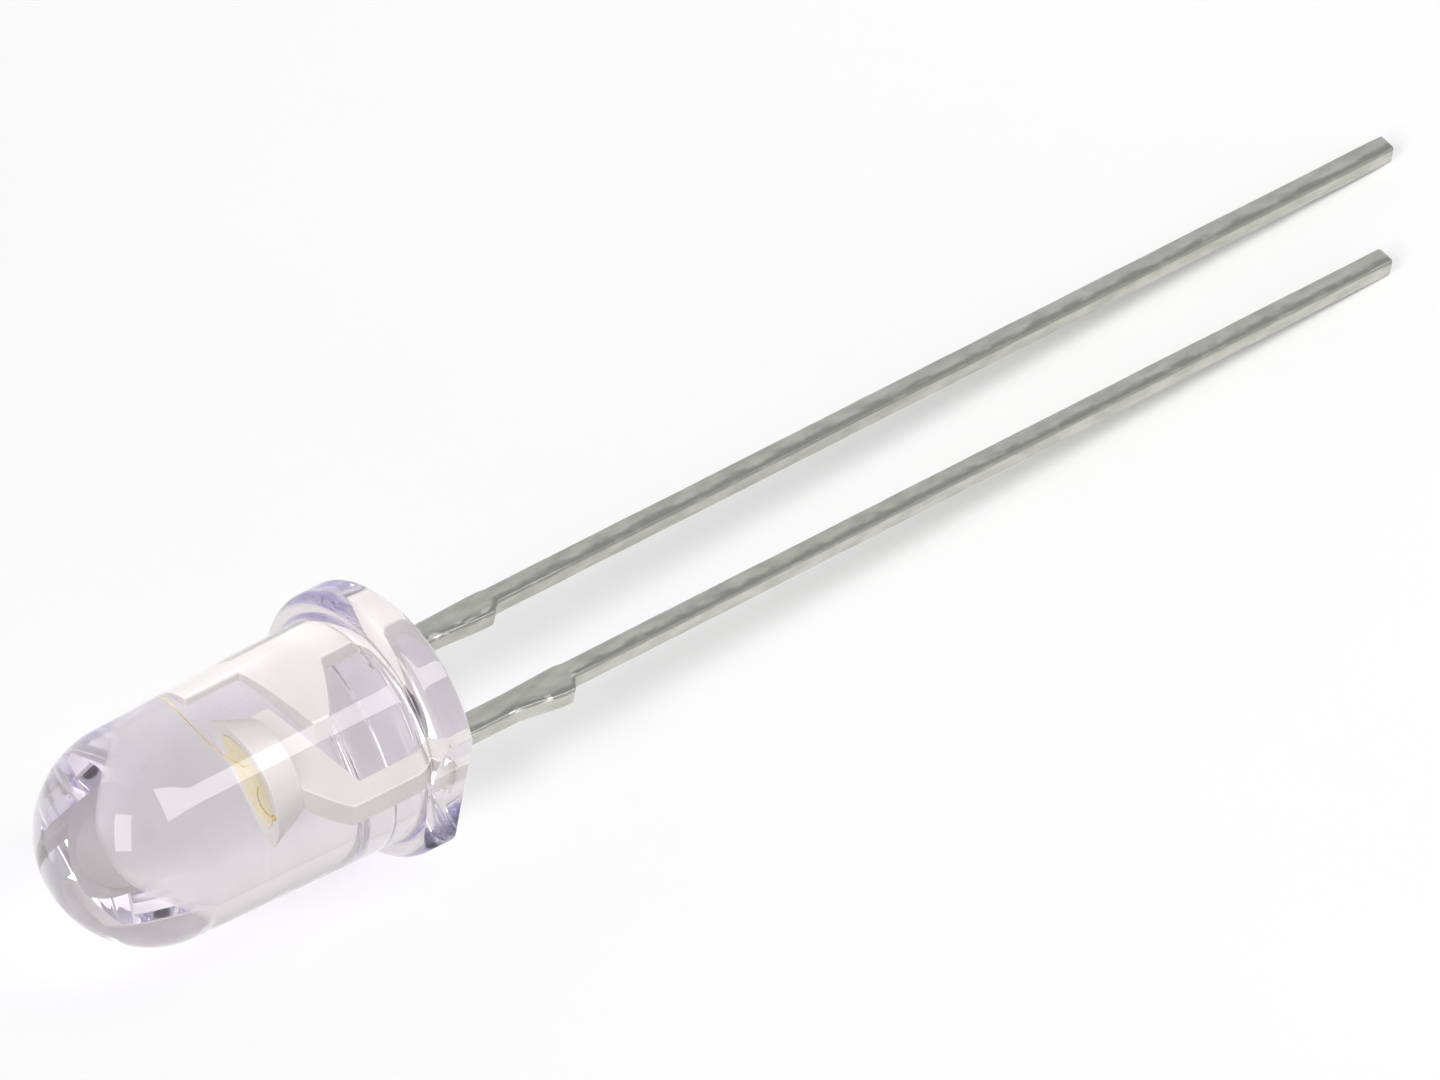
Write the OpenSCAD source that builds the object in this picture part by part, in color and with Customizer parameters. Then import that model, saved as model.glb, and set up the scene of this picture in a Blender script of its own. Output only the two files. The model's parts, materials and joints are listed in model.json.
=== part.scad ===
// Through hole LED with a round clear lens, lying on its flange and on both lead ends.
// Each piece is drawn in the lamp's own frame: the seat plane is z = 0, the dome points to +z,
// the leads run to -z, and the cathode, on the side of the flange's flat, stands at +x.
// at_rest() then lays the finished piece on the ground plane.

/* [Lens] */
// Height from the seat plane to the tip of the dome
lens_h = 8.82; // [8.3:0.02:10]
// Diameter of the barrel at the top of the flange
barrel_d = 5.06; // [4.9:0.02:5.2]
// Radius of the dome
dome_r = 2.4; // [2.3:0.02:2.44]

/* [Flange] */
// Diameter of the flange
flange_d = 6; // [5.8:0.05:6.6]
// Height of the flange
flange_h = 0.95; // [0.7:0.05:1.4]
// Radius of the flange's upper edge
flange_edge_r = 0.35; // [0.1:0.05:0.45]
// Radius of the hollow between the flange and the barrel
flange_root_r = 0.22; // [0.1:0.02:0.4]
// Distance of the flat on the cathode side from the axis
flat_x = 2.6; // [2.55:0.01:2.85]

/* [Leads] */
// Distance between the two leads, centre to centre
pitch = 2.54; // [2.3:0.02:2.8]
// Width of a lead across the sheet
lead_w = 0.45; // [0.38:0.01:0.55]
// Thickness of the lead frame sheet
lead_t = 0.45; // [0.38:0.01:0.55]
// Radius of the tinned long edges
lead_edge_r = 0.09; // [0.02:0.01:0.12]
// Bevel of the cut lead ends
tip_bevel = 0.05; // [0.02:0.01:0.12]
// Length of the anode lead below the seat plane
anode_len = 28.7; // [20:0.1:32]
// Length of the cathode lead below the seat plane
cathode_len = 26.5; // [18:0.1:30]

/* [Tie bar stubs] */
// Extra width of the shank above the stub, on one side
shank_extra = 0.12; // [0.02:0.01:0.2]
// Distance from the seat plane to the start of the stub
stub_start = 2.35; // [1.5:0.05:4]
// Length of the stub along the lead
stub_len = 1.55; // [1.35:0.05:2]
// Length of the slope into the stub
stub_ramp = 1.05; // [0.3:0.05:1.3]
// Length of the slanted shear face at the end of the stub
stub_shear = 0.22; // [0.1:0.02:0.44]
// How far the anode's stub stands out
anode_stub = 0.2; // [0.14:0.01:0.35]
// How far the cathode's stub stands out
cathode_stub = 0.3; // [0.22:0.01:0.4]
// How far each stub stands out on its far side
stub_back = 0.03; // [0.02:0.01:0.08]

/* [Anvil and post] */
// Height at which the anvil starts to widen
anvil_foot_z = 2.1; // [1.7:0.05:2.3]
// Height of the anvil's straight side under the cup's head
anvil_side_h = 0.48; // [0.2:0.02:0.7]
// Half width of the anvil's plate under the cup
anvil_half_w = 0.7; // [0.5:0.02:0.8]
// Height of the slope from the anvil's outer shoulder to the cup's head
anvil_shoulder_h = 0.83; // [0.4:0.02:1.2]
// Free gap between the anvil and the post
frame_gap = 0.34; // [0.2:0.02:0.4]
// Height of the post's top above the cup's rim
post_rise = 0; // [0:0.02:0.3]
// Width of the post's top
post_w = 0.72; // [0.4:0.02:0.8]
// Height of the post's straight top
post_flag_h = 0.93; // [0.6:0.02:1.1]
// How far the post's foot reaches in under the anvil
post_toe = 0.75; // [0.3:0.05:0.9]

/* [Reflector cup] */
// Height of the cup's rim
cup_z = 4.2; // [4.1:0.05:5]
// Outer radius of the cup's head at its rim
head_r = 0.88; // [0.8:0.02:0.95]
// Outer radius of the cup's head at its foot
head_foot_r = 0.66; // [0.5:0.02:0.75]
// Height of the cup's head
head_h = 0.82; // [0.65:0.02:0.9]
// Radius of the cup's mouth
cup_mouth_r = 0.64; // [0.55:0.02:0.7]
// Radius of the cup's floor
cup_floor_r = 0.42; // [0.36:0.02:0.5]
// Depth of the cup
cup_depth = 0.42; // [0.35:0.02:0.5]

/* [Chip and wires] */
// Side of the square chip
chip_w = 0.36; // [0.25:0.01:0.44]
// Height of the chip
chip_h = 0.12; // [0.08:0.01:0.16]
// Side of the square bed of adhesive under the chip
bed_w = 0.44; // [0.38:0.01:0.5]
// Height of the adhesive
bed_h = 0.03; // [0.02:0.01:0.05]
// Diameter of a bond wire
wire_d = 0.03; // [0.02:0.005:0.04]
// Distance of each wire's bond from the middle of the chip
bond_x = 0.1; // [0.07:0.01:0.12]
// Radius of a bond
bond_r = 0.045; // [0.035:0.005:0.055]
// Height of a bond
bond_h = 0.05; // [0.045:0.005:0.07]
// Rise of the anode's wire over the straight line between its bonds
anode_wire_rise = 0.42; // [0.3:0.02:0.5]
// Rise of the cathode's wire over the straight line between its bonds
cathode_wire_rise = 0.24; // [0.18:0.02:0.3]

/* [Hidden] */
$fn = 64;
wire_sides = 16;
bond_sides = 24;
// Overlap that keeps joined solids and cutters from ending on one plane
lap = 0.1;

// Lens: the barrel's side slopes in and meets the dome without a crease
barrel_r = barrel_d / 2;
flange_r = flange_d / 2;
dome_z = lens_h - dome_r;
side_run = dome_z - flange_h;
draft = acos(dome_r / norm([barrel_r, side_run])) - atan2(side_run, barrel_r);
function barrel_r_at(z) = barrel_r - (z - flange_h) * tan(draft);

// Lens: the flange's edge circle and its root circle touch, or meet its flat top
edge_c = [flange_r - flange_edge_r, flange_h - flange_edge_r];
root_x = barrel_r_at(flange_h + flange_root_r) + flange_root_r / cos(draft);
arc_span = flange_edge_r + flange_root_r;
arc_lean = max(0, root_x - edge_c[0]);
root_c = [root_x, edge_c[1] + sqrt(arc_span * arc_span - arc_lean * arc_lean)];
fill_x = min(edge_c[0], root_x);
flat_half_angle = acos(min(1, flat_x / flange_r));

// Leads: places of the shank's edges, and of the anvil and the post
half_w = lead_w / 2;
cathode_x = pitch / 2;
anode_x = -pitch / 2;
stub_end = stub_start + stub_len;
head_z = cup_z - head_h;
cup_floor_z = cup_z - cup_depth;
anvil_in = cathode_x - half_w;
anvil_out = cathode_x + half_w + shank_extra;
anvil_full_z = head_z - anvil_side_h;
anvil_slope = (anvil_full_z - anvil_foot_z) / (anvil_in + anvil_half_w);
gap_drop = frame_gap * norm([1, anvil_slope]);
function under_anvil(x) = anvil_foot_z + (anvil_in - x) * anvil_slope - gap_drop;
post_z = cup_z + post_rise;
post_in = -head_r - frame_gap;
post_out = post_in - post_w;
shank_in = anode_x + half_w + shank_extra;
toe_x = shank_in + post_toe;
toe_h = lead_w;

// Chip and wires: the ends of each wire's arc lie halfway up its bonds
chip_z = cup_floor_z + bed_h;
chip_top_z = chip_z + chip_h;
rim_mid = (head_r + cup_mouth_r) / 2;
post_mid = (post_in + post_out) / 2;
anode_bonds = [[-bond_x, chip_top_z], [post_mid, post_z]];
cathode_bonds = [[bond_x, chip_top_z], [rim_mid, cup_z]];

// Rest: the flange's lower rim and both lead ends touch the ground.
// reach is the lever arm from the rim to the shorter lead's end, and tan_tilt solves the
// quadratic that sets the height of the rim's contact equal to that of the lead ends.
stagger = (anode_len - cathode_len) / pitch;
rim = flange_r - lead_edge_r;
half_core = lead_t / 2 - lead_edge_r;
reach = stagger * pitch / 2 + abs(stagger) * (half_w - lead_edge_r) + cathode_len - tip_bevel;
quad_a = pow(reach, 2) + pow(half_core * stagger, 2);
quad_c = pow(rim, 2) - pow(half_core, 2);
tan_tilt = (rim * reach - sqrt(pow(rim * reach, 2) - quad_a * quad_c)) / quad_a;
tilt = atan(tan_tilt);
roll = -asin(stagger * tan_tilt);
function end_x(x, len) = len * cos(tilt) + sin(tilt)
    * (cos(roll) * (lead_t / 2 - tip_bevel) + sin(roll) * x + abs(sin(roll)) * (half_w - tip_bevel));
far_x = max(end_x(anode_x, anode_len), end_x(cathode_x, cathode_len));
near_x = -dome_z * cos(tilt) - dome_r;
mid_x = (far_x + near_x) / 2;
mid_y = (flange_r - flange_r * cos(flat_half_angle - abs(roll))) / 2;

module at_rest() {
    translate([-mid_x, -mid_y, flange_r * cos(tilt)])
        rotate([0, tilt - 90, 0]) rotate([0, 0, roll - 90]) children();
}

// Outline of the lens on one side of its axis, drawn as radius and height
module lens_profile() {
    dome_touch = [dome_r * cos(draft), dome_z + dome_r * sin(draft)];
    difference() {
        union() {
            polygon([[0, 0], [barrel_r_at(0), 0], dome_touch, [0, dome_touch[1]]]);
            square([edge_c[0], flange_h]);
            square([flange_r, edge_c[1]]);
            translate(edge_c) circle(flange_edge_r);
            polygon([[barrel_r - lap, edge_c[1]], [fill_x, edge_c[1]], root_c, [barrel_r - lap, root_c[1]]]);
            intersection() {
                translate([0, dome_z]) circle(dome_r);
                translate([0, dome_z - dome_r]) square([dome_r, 2 * dome_r]);
            }
        }
        translate(root_c) circle(flange_root_r);
    }
}

module lens_body() {
    difference() {
        rotate_extrude() lens_profile();
        translate([flat_x, -flange_d / 2, -lap])
            cube([flange_r, flange_d, root_c[1] + lap]);
    }
}

module rounded_rect(w, h, r) {
    square([w - 2 * r, h], center = true);
    square([w, h - 2 * r], center = true);
    for (x = [r - w / 2, w / 2 - r], y = [r - h / 2, h / 2 - r]) translate([x, y]) circle(r);
}

// Upright outline of a lead's lower end, w wide, with both corners bevelled
module tip_outline(w, len) {
    polygon([[-w / 2, 0], [-w / 2, tip_bevel - len], [tip_bevel - w / 2, -len],
             [w / 2 - tip_bevel, -len], [w / 2, tip_bevel - len], [w / 2, 0]]);
}

module upright(t) {
    rotate([90, 0, 0]) linear_extrude(t, center = true) children();
}

// The free leg: a tinned square wire with soft long edges and a bevelled end
module leg(len) {
    intersection() {
        translate([0, 0, -len - lap]) linear_extrude(len - stub_start + lap)
            rounded_rect(lead_w, lead_t, lead_edge_r);
        upright(2 * lead_t) tip_outline(lead_w, len);
        rotate([0, 0, 90]) upright(2 * lead_w) tip_outline(lead_t, len);
    }
}

// What is left of the tie bar between the leads after it was sheared off
module stub_outline(out) {
    polygon([[-half_w, -stub_end], [-half_w - stub_back, -stub_end + stub_shear],
             [-half_w - stub_back, -stub_start - stub_ramp], [-half_w, -stub_start],
             [half_w + shank_extra, -stub_start], [half_w + out, -stub_start - stub_ramp],
             [half_w + out, -stub_end + stub_shear], [half_w, -stub_end]]);
}

module cup_recess(top) {
    translate([0, 0, cup_floor_z])
        cylinder(h = cup_depth, r1 = cup_floor_r, r2 = cup_mouth_r);
    translate([0, 0, cup_z]) cylinder(h = top, r = cup_mouth_r);
}

module cathode_frame() {
    translate([cathode_x, 0, 0]) leg(cathode_len);
    upright(lead_t) {
        translate([cathode_x, 0]) stub_outline(cathode_stub);
        polygon([[anvil_in, -stub_start], [anvil_in, anvil_foot_z], [-anvil_half_w, anvil_full_z],
                 [-anvil_half_w, head_z], [anvil_half_w, head_z],
                 [anvil_out, head_z - anvil_shoulder_h], [anvil_out, -stub_start]]);
    }
    difference() {
        translate([0, 0, head_z]) cylinder(h = head_h, r1 = head_foot_r, r2 = head_r);
        cup_recess(lap);
    }
}

module anode_frame() {
    translate([anode_x, 0, 0]) leg(anode_len);
    upright(lead_t) {
        translate([anode_x, 0]) stub_outline(anode_stub);
        polygon([[anode_x - half_w, -stub_start], [anode_x - half_w, post_z - post_flag_h - post_w],
                 [post_out, post_z - post_flag_h], [post_out, post_z], [post_in, post_z],
                 [post_in, under_anvil(post_in)], [toe_x, under_anvil(toe_x)],
                 [toe_x, under_anvil(toe_x) - toe_h], [shank_in, under_anvil(toe_x) - toe_h - post_toe],
                 [shank_in, -stub_start]]);
    }
}

module bed_block() {
    translate([-bed_w / 2, -bed_w / 2, cup_floor_z]) cube([bed_w, bed_w, bed_h]);
}

module chip_block() {
    translate([-chip_w / 2, -chip_w / 2, chip_z]) cube([chip_w, chip_w, chip_h]);
}

// A wire bent to one arc between two bonds, given as [x, z] places of their undersides
module bond_wire(bonds, rise) {
    lift = [0, bond_h / 2];
    a = bonds[0] + lift;
    b = bonds[1] + lift;
    chord = norm(b - a);
    arc_r = (pow(chord / 2, 2) + pow(rise, 2)) / (2 * rise);
    side = sign(b[0] - a[0]);
    up = side * [a[1] - b[1], b[0] - a[0]] / chord;
    centre = (a + b) / 2 - up * (arc_r - rise);
    right = side > 0 ? b : a;
    left = side > 0 ? a : b;
    start = atan2(right[1] - centre[1], right[0] - centre[0]);
    end = atan2(left[1] - centre[1], left[0] - centre[0]);
    sweep = end - start + (end < start ? 360 : 0);
    rotate([90, 0, 0]) translate([centre[0], centre[1], 0]) rotate([0, 0, start])
        rotate_extrude(angle = sweep) translate([arc_r, 0]) circle(d = wire_d, $fn = wire_sides);
    for (p = bonds) translate([p[0], 0, p[1]]) cylinder(h = bond_h, r = bond_r, $fn = bond_sides);
}

module wires() {
    bond_wire(anode_bonds, anode_wire_rise);
    bond_wire(cathode_bonds, cathode_wire_rise);
}

module lens() {
    color([0.86, 0.85, 0.91, 0.35]) at_rest() difference() {
        lens_body();
        cathode_frame();
        anode_frame();
        cup_recess(0);
        wires();
    }
}

module cathode_lead() {
    color([0.72, 0.72, 0.7]) at_rest() cathode_frame();
}

module anode_lead() {
    color([0.72, 0.72, 0.7]) at_rest() anode_frame();
}

module die_attach() {
    color([0.9, 0.9, 0.86]) at_rest() bed_block();
}

module led_chip() {
    color([0.55, 0.62, 0.78]) at_rest() chip_block();
}

module phosphor() {
    color([0.93, 0.8, 0.3]) at_rest() difference() {
        cup_recess(0);
        bed_block();
        chip_block();
        wires();
    }
}

module anode_bond_wire() {
    color([0.95, 0.78, 0.35]) at_rest() bond_wire(anode_bonds, anode_wire_rise);
}

module cathode_bond_wire() {
    color([0.95, 0.78, 0.35]) at_rest() bond_wire(cathode_bonds, cathode_wire_rise);
}

lens();
cathode_lead();
anode_lead();
die_attach();
led_chip();
phosphor();
anode_bond_wire();
cathode_bond_wire();
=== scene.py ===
"""Dresses the through hole LED: its clear lens, tinned lead frame, phosphor, chip and wires.

Each piece is modelled in the lamp's own frame, in millimetres: the seat plane is z = 0, the dome
points to +z, the leads run to -z and the cathode stands at +x. lay_down() then takes the finished
mesh to its rest on the ground, in metres.
"""
import json
import math
from itertools import pairwise
from types import SimpleNamespace

import bmesh
import bpy
from bpy.props import FloatProperty, FloatVectorProperty, IntProperty, PointerProperty
from bpy.types import Operator, Panel, PropertyGroup
from mathutils import Matrix, Vector


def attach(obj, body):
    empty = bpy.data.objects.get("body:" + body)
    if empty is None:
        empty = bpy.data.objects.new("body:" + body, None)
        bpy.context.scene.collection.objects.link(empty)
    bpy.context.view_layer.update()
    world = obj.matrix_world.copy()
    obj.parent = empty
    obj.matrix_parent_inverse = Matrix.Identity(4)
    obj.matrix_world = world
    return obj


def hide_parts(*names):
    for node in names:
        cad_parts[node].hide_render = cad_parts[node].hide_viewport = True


bl_info = {
    "name": "Through hole LED",
    "version": (1, 0, 0),
    "blender": (4, 5, 0),
    "location": "View3D > Sidebar > LED",
    "description": "Models and finishes a clear through hole LED round its packed frame",
    "category": "Object",
}

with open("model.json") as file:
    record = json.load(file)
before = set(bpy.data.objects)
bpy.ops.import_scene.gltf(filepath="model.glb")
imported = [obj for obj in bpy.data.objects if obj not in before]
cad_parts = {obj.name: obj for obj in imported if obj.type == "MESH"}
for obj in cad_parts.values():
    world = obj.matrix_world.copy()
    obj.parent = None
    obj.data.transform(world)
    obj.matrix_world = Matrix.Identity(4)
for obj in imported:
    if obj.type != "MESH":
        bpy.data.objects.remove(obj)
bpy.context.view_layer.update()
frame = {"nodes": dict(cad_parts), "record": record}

MM = 0.001
BODY = "root"

# The photograph's frame and the place of the seat's middle in it, in pixels
PHOTO_W = 1440
PHOTO_H = 1080
SEAT_PIXEL = (385.5, 711.6)

# Points that lie closer than this become one, in millimetres
WELD = 0.0005
CUT_WELD = 0.0001
# Width of the small plane that is merged to a profile's first point, in millimetres
SEED_W = 0.01
# A face whose normal's z is above this looks up
UPWARDS = 0.9

# Faces round the lens and round the cup
LENS_SIDES = 256
CUP_SIDES = 96
# Rings of faces along each stretch of the lens' outline, from the seat to the dome
RINGS = SimpleNamespace(seat=12, rim=5, wall=4, shoulder=14, root=12, side=30, dome=64)
# Rings along each free leg, and down the cup's wall
CATHODE_RINGS = 60
ANODE_RINGS = 64
CUP_RINGS = 4
# The resin's foot round a lead: its rings, how hollow its side is and its share of width at the end
WICK_RINGS = 7
WICK_HOLLOW = 2.2
WICK_END = 0.03
# Radius of the edges of the cup's head, in millimetres
HEAD_EDGE_R = 0.03
# Size of the waves in each lead's tin, in millimetres
CATHODE_WAVES = 0.9
ANODE_WAVES = 1.0

# Size of the tin's streaks across and along the leads, in millimetres
TIN_CELL = (0.22, 0.22, 0.6)
# Strength of the bumps in the tin and in the silver plate
TIN_BUMP = 0.6
PLATE_BUMP = 0.06
# Roughness of the tin, of the painted shade band along its edge and of the painted glints in that
# band
TIN_ROUGH = 0.4
BAND_ROUGH = 0.42
SPECK_ROUGH = 0.22
# The silver plate is matt and scatters most of its light
PLATE_METALLIC = 0.3
# The silver plate goes over to tin within this distance of the seat plane, in millimetres
PLATE_FADE = 0.4
# Share of the painted glints beyond the stubs, and the length over which they thin out, in mm
FAR_SPECKS = 0.12
SPECK_FADE = 0.7
# Attribute with each point's distance from the edge on the stub's side, in millimetres
FROM_EDGE = "from_edge"
EPOXY_IOR = 1.53

# Ways from the lamp to the softboxes, by the camera's right, its up and the way back to it
STRIP_NEAR = (0.187, 0.438, 0.88)
STRIP_FAR = (0.752, 0.526, 0.398)
STRIP_ACROSS = (-0.35, 0.87, -0.3)
SIDE_BOX = (-0.43, -0.02, 0.905)
# Width and height of the side softbox, as seen from the lamp, in degrees
SIDE_BOX_SPREAD = (17, 35)
# The studio turns grey between these heights: 0 is at eye level and 1 is overhead
GREY_RISE = (0.05, 0.6)
# Width of the ground, in metres
GROUND_W = 4
# The camera sees nothing that is nearer than this share of its distance
NEAR_SHARE = 0.01
# How often light may bounce: it runs round inside the lens many times
BOUNCES = 48


def length(name, description, millimetres):
    """A property for a length, given in millimetres and kept in metres."""
    return FloatProperty(name=name, description=description, default=millimetres * MM,
                         unit="LENGTH", precision=5)


def angle(name, description, degrees):
    """A property for an angle, given in degrees and kept in radians."""
    return FloatProperty(name=name, description=description, default=math.radians(degrees),
                         unit="ROTATION")


def share(name, description, value):
    """A property for a share of a whole."""
    return FloatProperty(name=name, description=description, default=value, min=0, max=1,
                         subtype="FACTOR")


def colour(name, description, value):
    """A property for a colour."""
    return FloatVectorProperty(name=name, description=description, default=value, size=3,
                               min=0, max=1, subtype="COLOR")


class LensSizes(PropertyGroup):
    """Sizes of the clear lens."""
    height: length("Height", "From the seat plane to the tip of the dome", 8.82)
    barrel_d: length("Barrel", "Diameter of the barrel at the top of the flange", 5.06)
    dome_r: length("Dome", "Radius of the dome", 2.4)
    flange_d: length("Flange", "Diameter of the flange", 6)
    flange_h: length("Flange height", "Height of the flange", 0.95)
    edge_r: length("Flange edge", "Radius of the flange's upper edge", 0.35)
    root_r: length("Flange root", "Radius of the hollow between flange and barrel", 0.22)
    seat_r: length("Seat edge", "Radius of the edge round the seat plane", 0.07)
    flat_x: length("Flat", "Distance of the cathode side's flat from the axis", 2.6)
    dish: length("Dish", "How far the cast seat face sinks in its middle", 0.05)
    wick_h: length("Wick height", "How far the resin creeps down each lead", 0.2)
    wick_w: length("Wick width", "How wide the creeping resin starts round each lead", 0.24)


class LeadSizes(PropertyGroup):
    """Sizes of the two stamped leads."""
    pitch: length("Pitch", "Distance between the leads, centre to centre", 2.54)
    width: length("Width", "Width of a lead across the sheet", 0.45)
    sheet: length("Sheet", "Thickness of the lead frame sheet", 0.45)
    edge_r: length("Edge", "Radius of the tinned long edges", 0.12)
    tip_r: length("Tip", "How far the cut ends are rounded", 0.08)
    anode_len: length("Anode length", "Length of the anode lead below the seat plane", 28.7)
    cathode_len: length("Cathode length", "Length of the cathode lead below the seat plane", 26.5)
    shank_extra: length("Shank", "Extra width of the shank above the stub", 0.12)
    stub_start: length("Stub start", "Distance from the seat plane to the tie bar's stub", 2.35)
    stub_len: length("Stub length", "Length of the tie bar's stub", 1.55)
    stub_ramp: length("Stub ramp", "Length of the slope into the stub", 1.05)
    stub_shear: length("Stub shear", "Length of the slanted sheared face", 0.22)
    anode_stub: length("Anode stub", "How far the anode's stub stands out", 0.2)
    cathode_stub: length("Cathode stub", "How far the cathode's stub stands out", 0.3)
    stub_back: length("Stub back", "How far each stub stands out on its far side", 0.03)
    wander: length("Wander", "Depth of the tin coat's waviness", 0.016)
    # Painted shade: the edge band and its wave place a dark band painted along the edge on the
    # stub's side, in place of the dark studio's reflection
    painted_shade_band: length("Edge band", "Width of the dark band along the edge on the stub's side", 0.27)
    edge_wave: length("Edge wave", "How far the dark band's border wanders", 0.08)


class FrameHeadSizes(PropertyGroup):
    """Sizes of the anvil, the post and the reflector cup inside the lens."""
    foot_z: length("Anvil foot", "Height at which the anvil starts to widen", 2.1)
    side_h: length("Anvil side", "Height of the anvil's straight side", 0.48)
    half_w: length("Anvil half width", "Half width of the anvil under the cup", 0.7)
    shoulder_h: length("Anvil shoulder", "Height of the slope on the anvil's outer side", 0.83)
    gap: length("Gap", "Free gap between the anvil and the post", 0.34)
    post_rise: length("Post rise", "Height of the post's top above the cup's rim", 0.0)
    post_w: length("Post width", "Width of the post's top", 0.72)
    post_flag_h: length("Post flag", "Height of the post's straight top", 0.93)
    post_toe: length("Post toe", "How far the post's foot reaches in under the anvil", 0.75)
    cup_z: length("Rim height", "Height of the cup's rim", 4.2)
    head_r: length("Head", "Outer radius of the cup's head at its rim", 0.88)
    head_foot_r: length("Head foot", "Outer radius of the cup's head at its foot", 0.66)
    head_h: length("Head height", "Height of the cup's head", 0.82)
    mouth_r: length("Mouth", "Radius of the cup's mouth", 0.64)
    floor_r: length("Floor", "Radius of the cup's floor", 0.42)
    depth: length("Depth", "Depth of the cup", 0.42)
    sag: length("Phosphor sag", "How far the phosphor sinks in the middle of the cup", 0.05)


class Finish(PropertyGroup):
    """Colours and finishes."""
    epoxy: colour("Epoxy", "Tint of the epoxy", (0.77, 0.735, 0.725))
    epoxy_clear: colour("Clearer epoxy", "Tint where the epoxy is clearest", (0.83, 0.8, 0.79))
    epoxy_depth: colour("Epoxy depth", "Tint that the epoxy takes with depth", (0.6, 0.55, 0.9))
    epoxy_density: FloatProperty(name="Epoxy density", default=25.0, min=0,
                                 description="Strength of the tint for each metre of epoxy")
    epoxy_shadow: colour("Epoxy shadow", "Tint of the light that passes the epoxy",
                         (0.95, 0.945, 0.97))
    tin: colour("Tin", "Clean tin coat", (0.62, 0.615, 0.57))
    tin_dull: colour("Dull tin", "Tin coat where it has dulled", (0.5, 0.505, 0.46))
    # Painted shade: a dark colour painted along the leads' edges for the reflection of the dark
    # studio round the camera
    painted_edge_shade: colour("Tin band", "Tin in the dark band along an edge", (0.34, 0.34, 0.315))
    # The same colour is also painted as glints into the shade band on the leads' edges
    silver: colour("Silver", "Silver plate of the frame's head", (0.88, 0.86, 0.815))
    phosphor: colour("Phosphor", "Phosphor in its silicone", (0.95, 0.9, 0.66))
    phosphor_deep: colour("Settled phosphor", "Phosphor where it has settled", (0.88, 0.76, 0.42))
    chip: colour("Chip", "Polished face of the chip", (0.42, 0.5, 0.68))
    adhesive: colour("Adhesive", "Adhesive under the chip", (0.88, 0.88, 0.83))
    gold: colour("Gold", "Gold of the bond wires", (0.95, 0.74, 0.33))


class Studio(PropertyGroup):
    """The camera, the lights and the ground."""
    azimuth: angle("Camera azimuth", "Where the camera stands round the lamp", -40)
    elevation: angle("Camera elevation", "Height of the camera above the horizon", 45.5)
    distance: FloatProperty(name="Camera distance", description="From the camera to the lamp",
                            default=0.95, unit="LENGTH")
    view_w: length("View width", "Width that the camera sees at the lamp", 29.95)
    ground: colour("Ground", "Colour of the ground", (0.93, 0.93, 0.93))
    horizon: colour("Horizon", "Colour of the studio at eye level", (1.0, 1.0, 1.0))
    zenith: colour("Zenith", "Colour of the studio overhead", (0.6, 0.6, 0.6))
    camera_shade: colour("Camera shade", "Colour of the dark spot round the camera",
                         (0.12, 0.11, 0.11))
    shade_width: angle("Shade width", "Half width of the dark spot, seen from the lamp", 7)
    shade_fade: angle("Shade fade", "Width over which the dark spot fades out", 5)
    room_level: share("Room level", "Share of the studio's light that falls on dull surfaces", 0.76)
    box_distance: FloatProperty(name="Box distance", default=0.6, unit="LENGTH",
                                description="From the side softbox to the lamp")
    strip_near: FloatProperty(name="Strip near end", default=0.4, unit="LENGTH",
                              description="From the strip softbox's near end to the lamp")
    strip_far: FloatProperty(name="Strip far end", default=1.45, unit="LENGTH",
                             description="From the strip softbox's far end to the lamp")
    strip_width: FloatProperty(name="Strip width", default=0.254, unit="LENGTH",
                               description="Width of the strip softbox")
    softbox_level: FloatProperty(name="Softbox level", description="Radiance of the softboxes",
                                 default=4.7, min=0)
    ground_steps: IntProperty(name="Ground steps", description="Cuts in the ground's sheet",
                              default=8, min=1)


GROUPS = {
    "led_lens": LensSizes,
    "led_leads": LeadSizes,
    "led_head": FrameHeadSizes,
    "led_finish": Finish,
    "led_studio": Studio,
}


def sizes_of(group):
    """A group's lengths by name, in millimetres."""
    return SimpleNamespace(**{key: getattr(group, key) / MM for key in group.__annotations__})


def seat_mount():
    """The flange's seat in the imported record: its middle and the way that it faces."""
    return next(m for m in frame["record"]["mounts"] if m["name"] == "seat")


def rest_turn(leads):
    """The turn from the lamp's own frame to its rest: tilted on the flange, rolled by the leads."""
    axis = Vector(seat_mount()["axis"])
    tan_tilt = -axis.z / axis.x
    stagger = (leads.anode_len - leads.cathode_len) / leads.pitch
    roll = -math.asin(stagger * tan_tilt)
    quarter = math.pi / 2
    return (Matrix.Rotation(math.atan(tan_tilt) - quarter, 4, "Y")
            @ Matrix.Rotation(roll - quarter, 4, "Z"))


def rest_place(leads):
    """The lamp's own frame at its rest, in metres."""
    return Matrix.Translation(seat_mount()["pos_m"]) @ rest_turn(leads)


def deselect():
    bpy.ops.object.select_all(action="DESELECT")


def pick(piece):
    """Selects one piece and nothing else."""
    deselect()
    piece.select_set(True)
    bpy.context.view_layer.objects.active = piece


def added(name):
    """The primitive that was just added, under its name."""
    piece = bpy.context.object
    piece.name = name
    piece.data.name = name
    return piece


def edit():
    bpy.ops.object.mode_set(mode="EDIT")


def leave_edit():
    bpy.ops.object.mode_set(mode="OBJECT")


def select_faces(piece, wanted):
    """In edit mode, selects only the faces for which wanted(middle, normal) is true."""
    bpy.ops.mesh.select_mode(type="FACE")
    bpy.ops.mesh.select_all(action="DESELECT")
    mesh = bmesh.from_edit_mesh(piece.data)
    for face in mesh.faces:
        face.select_set(bool(wanted(face.calc_center_median(), face.normal)))
    bmesh.update_edit_mesh(piece.data)


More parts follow.
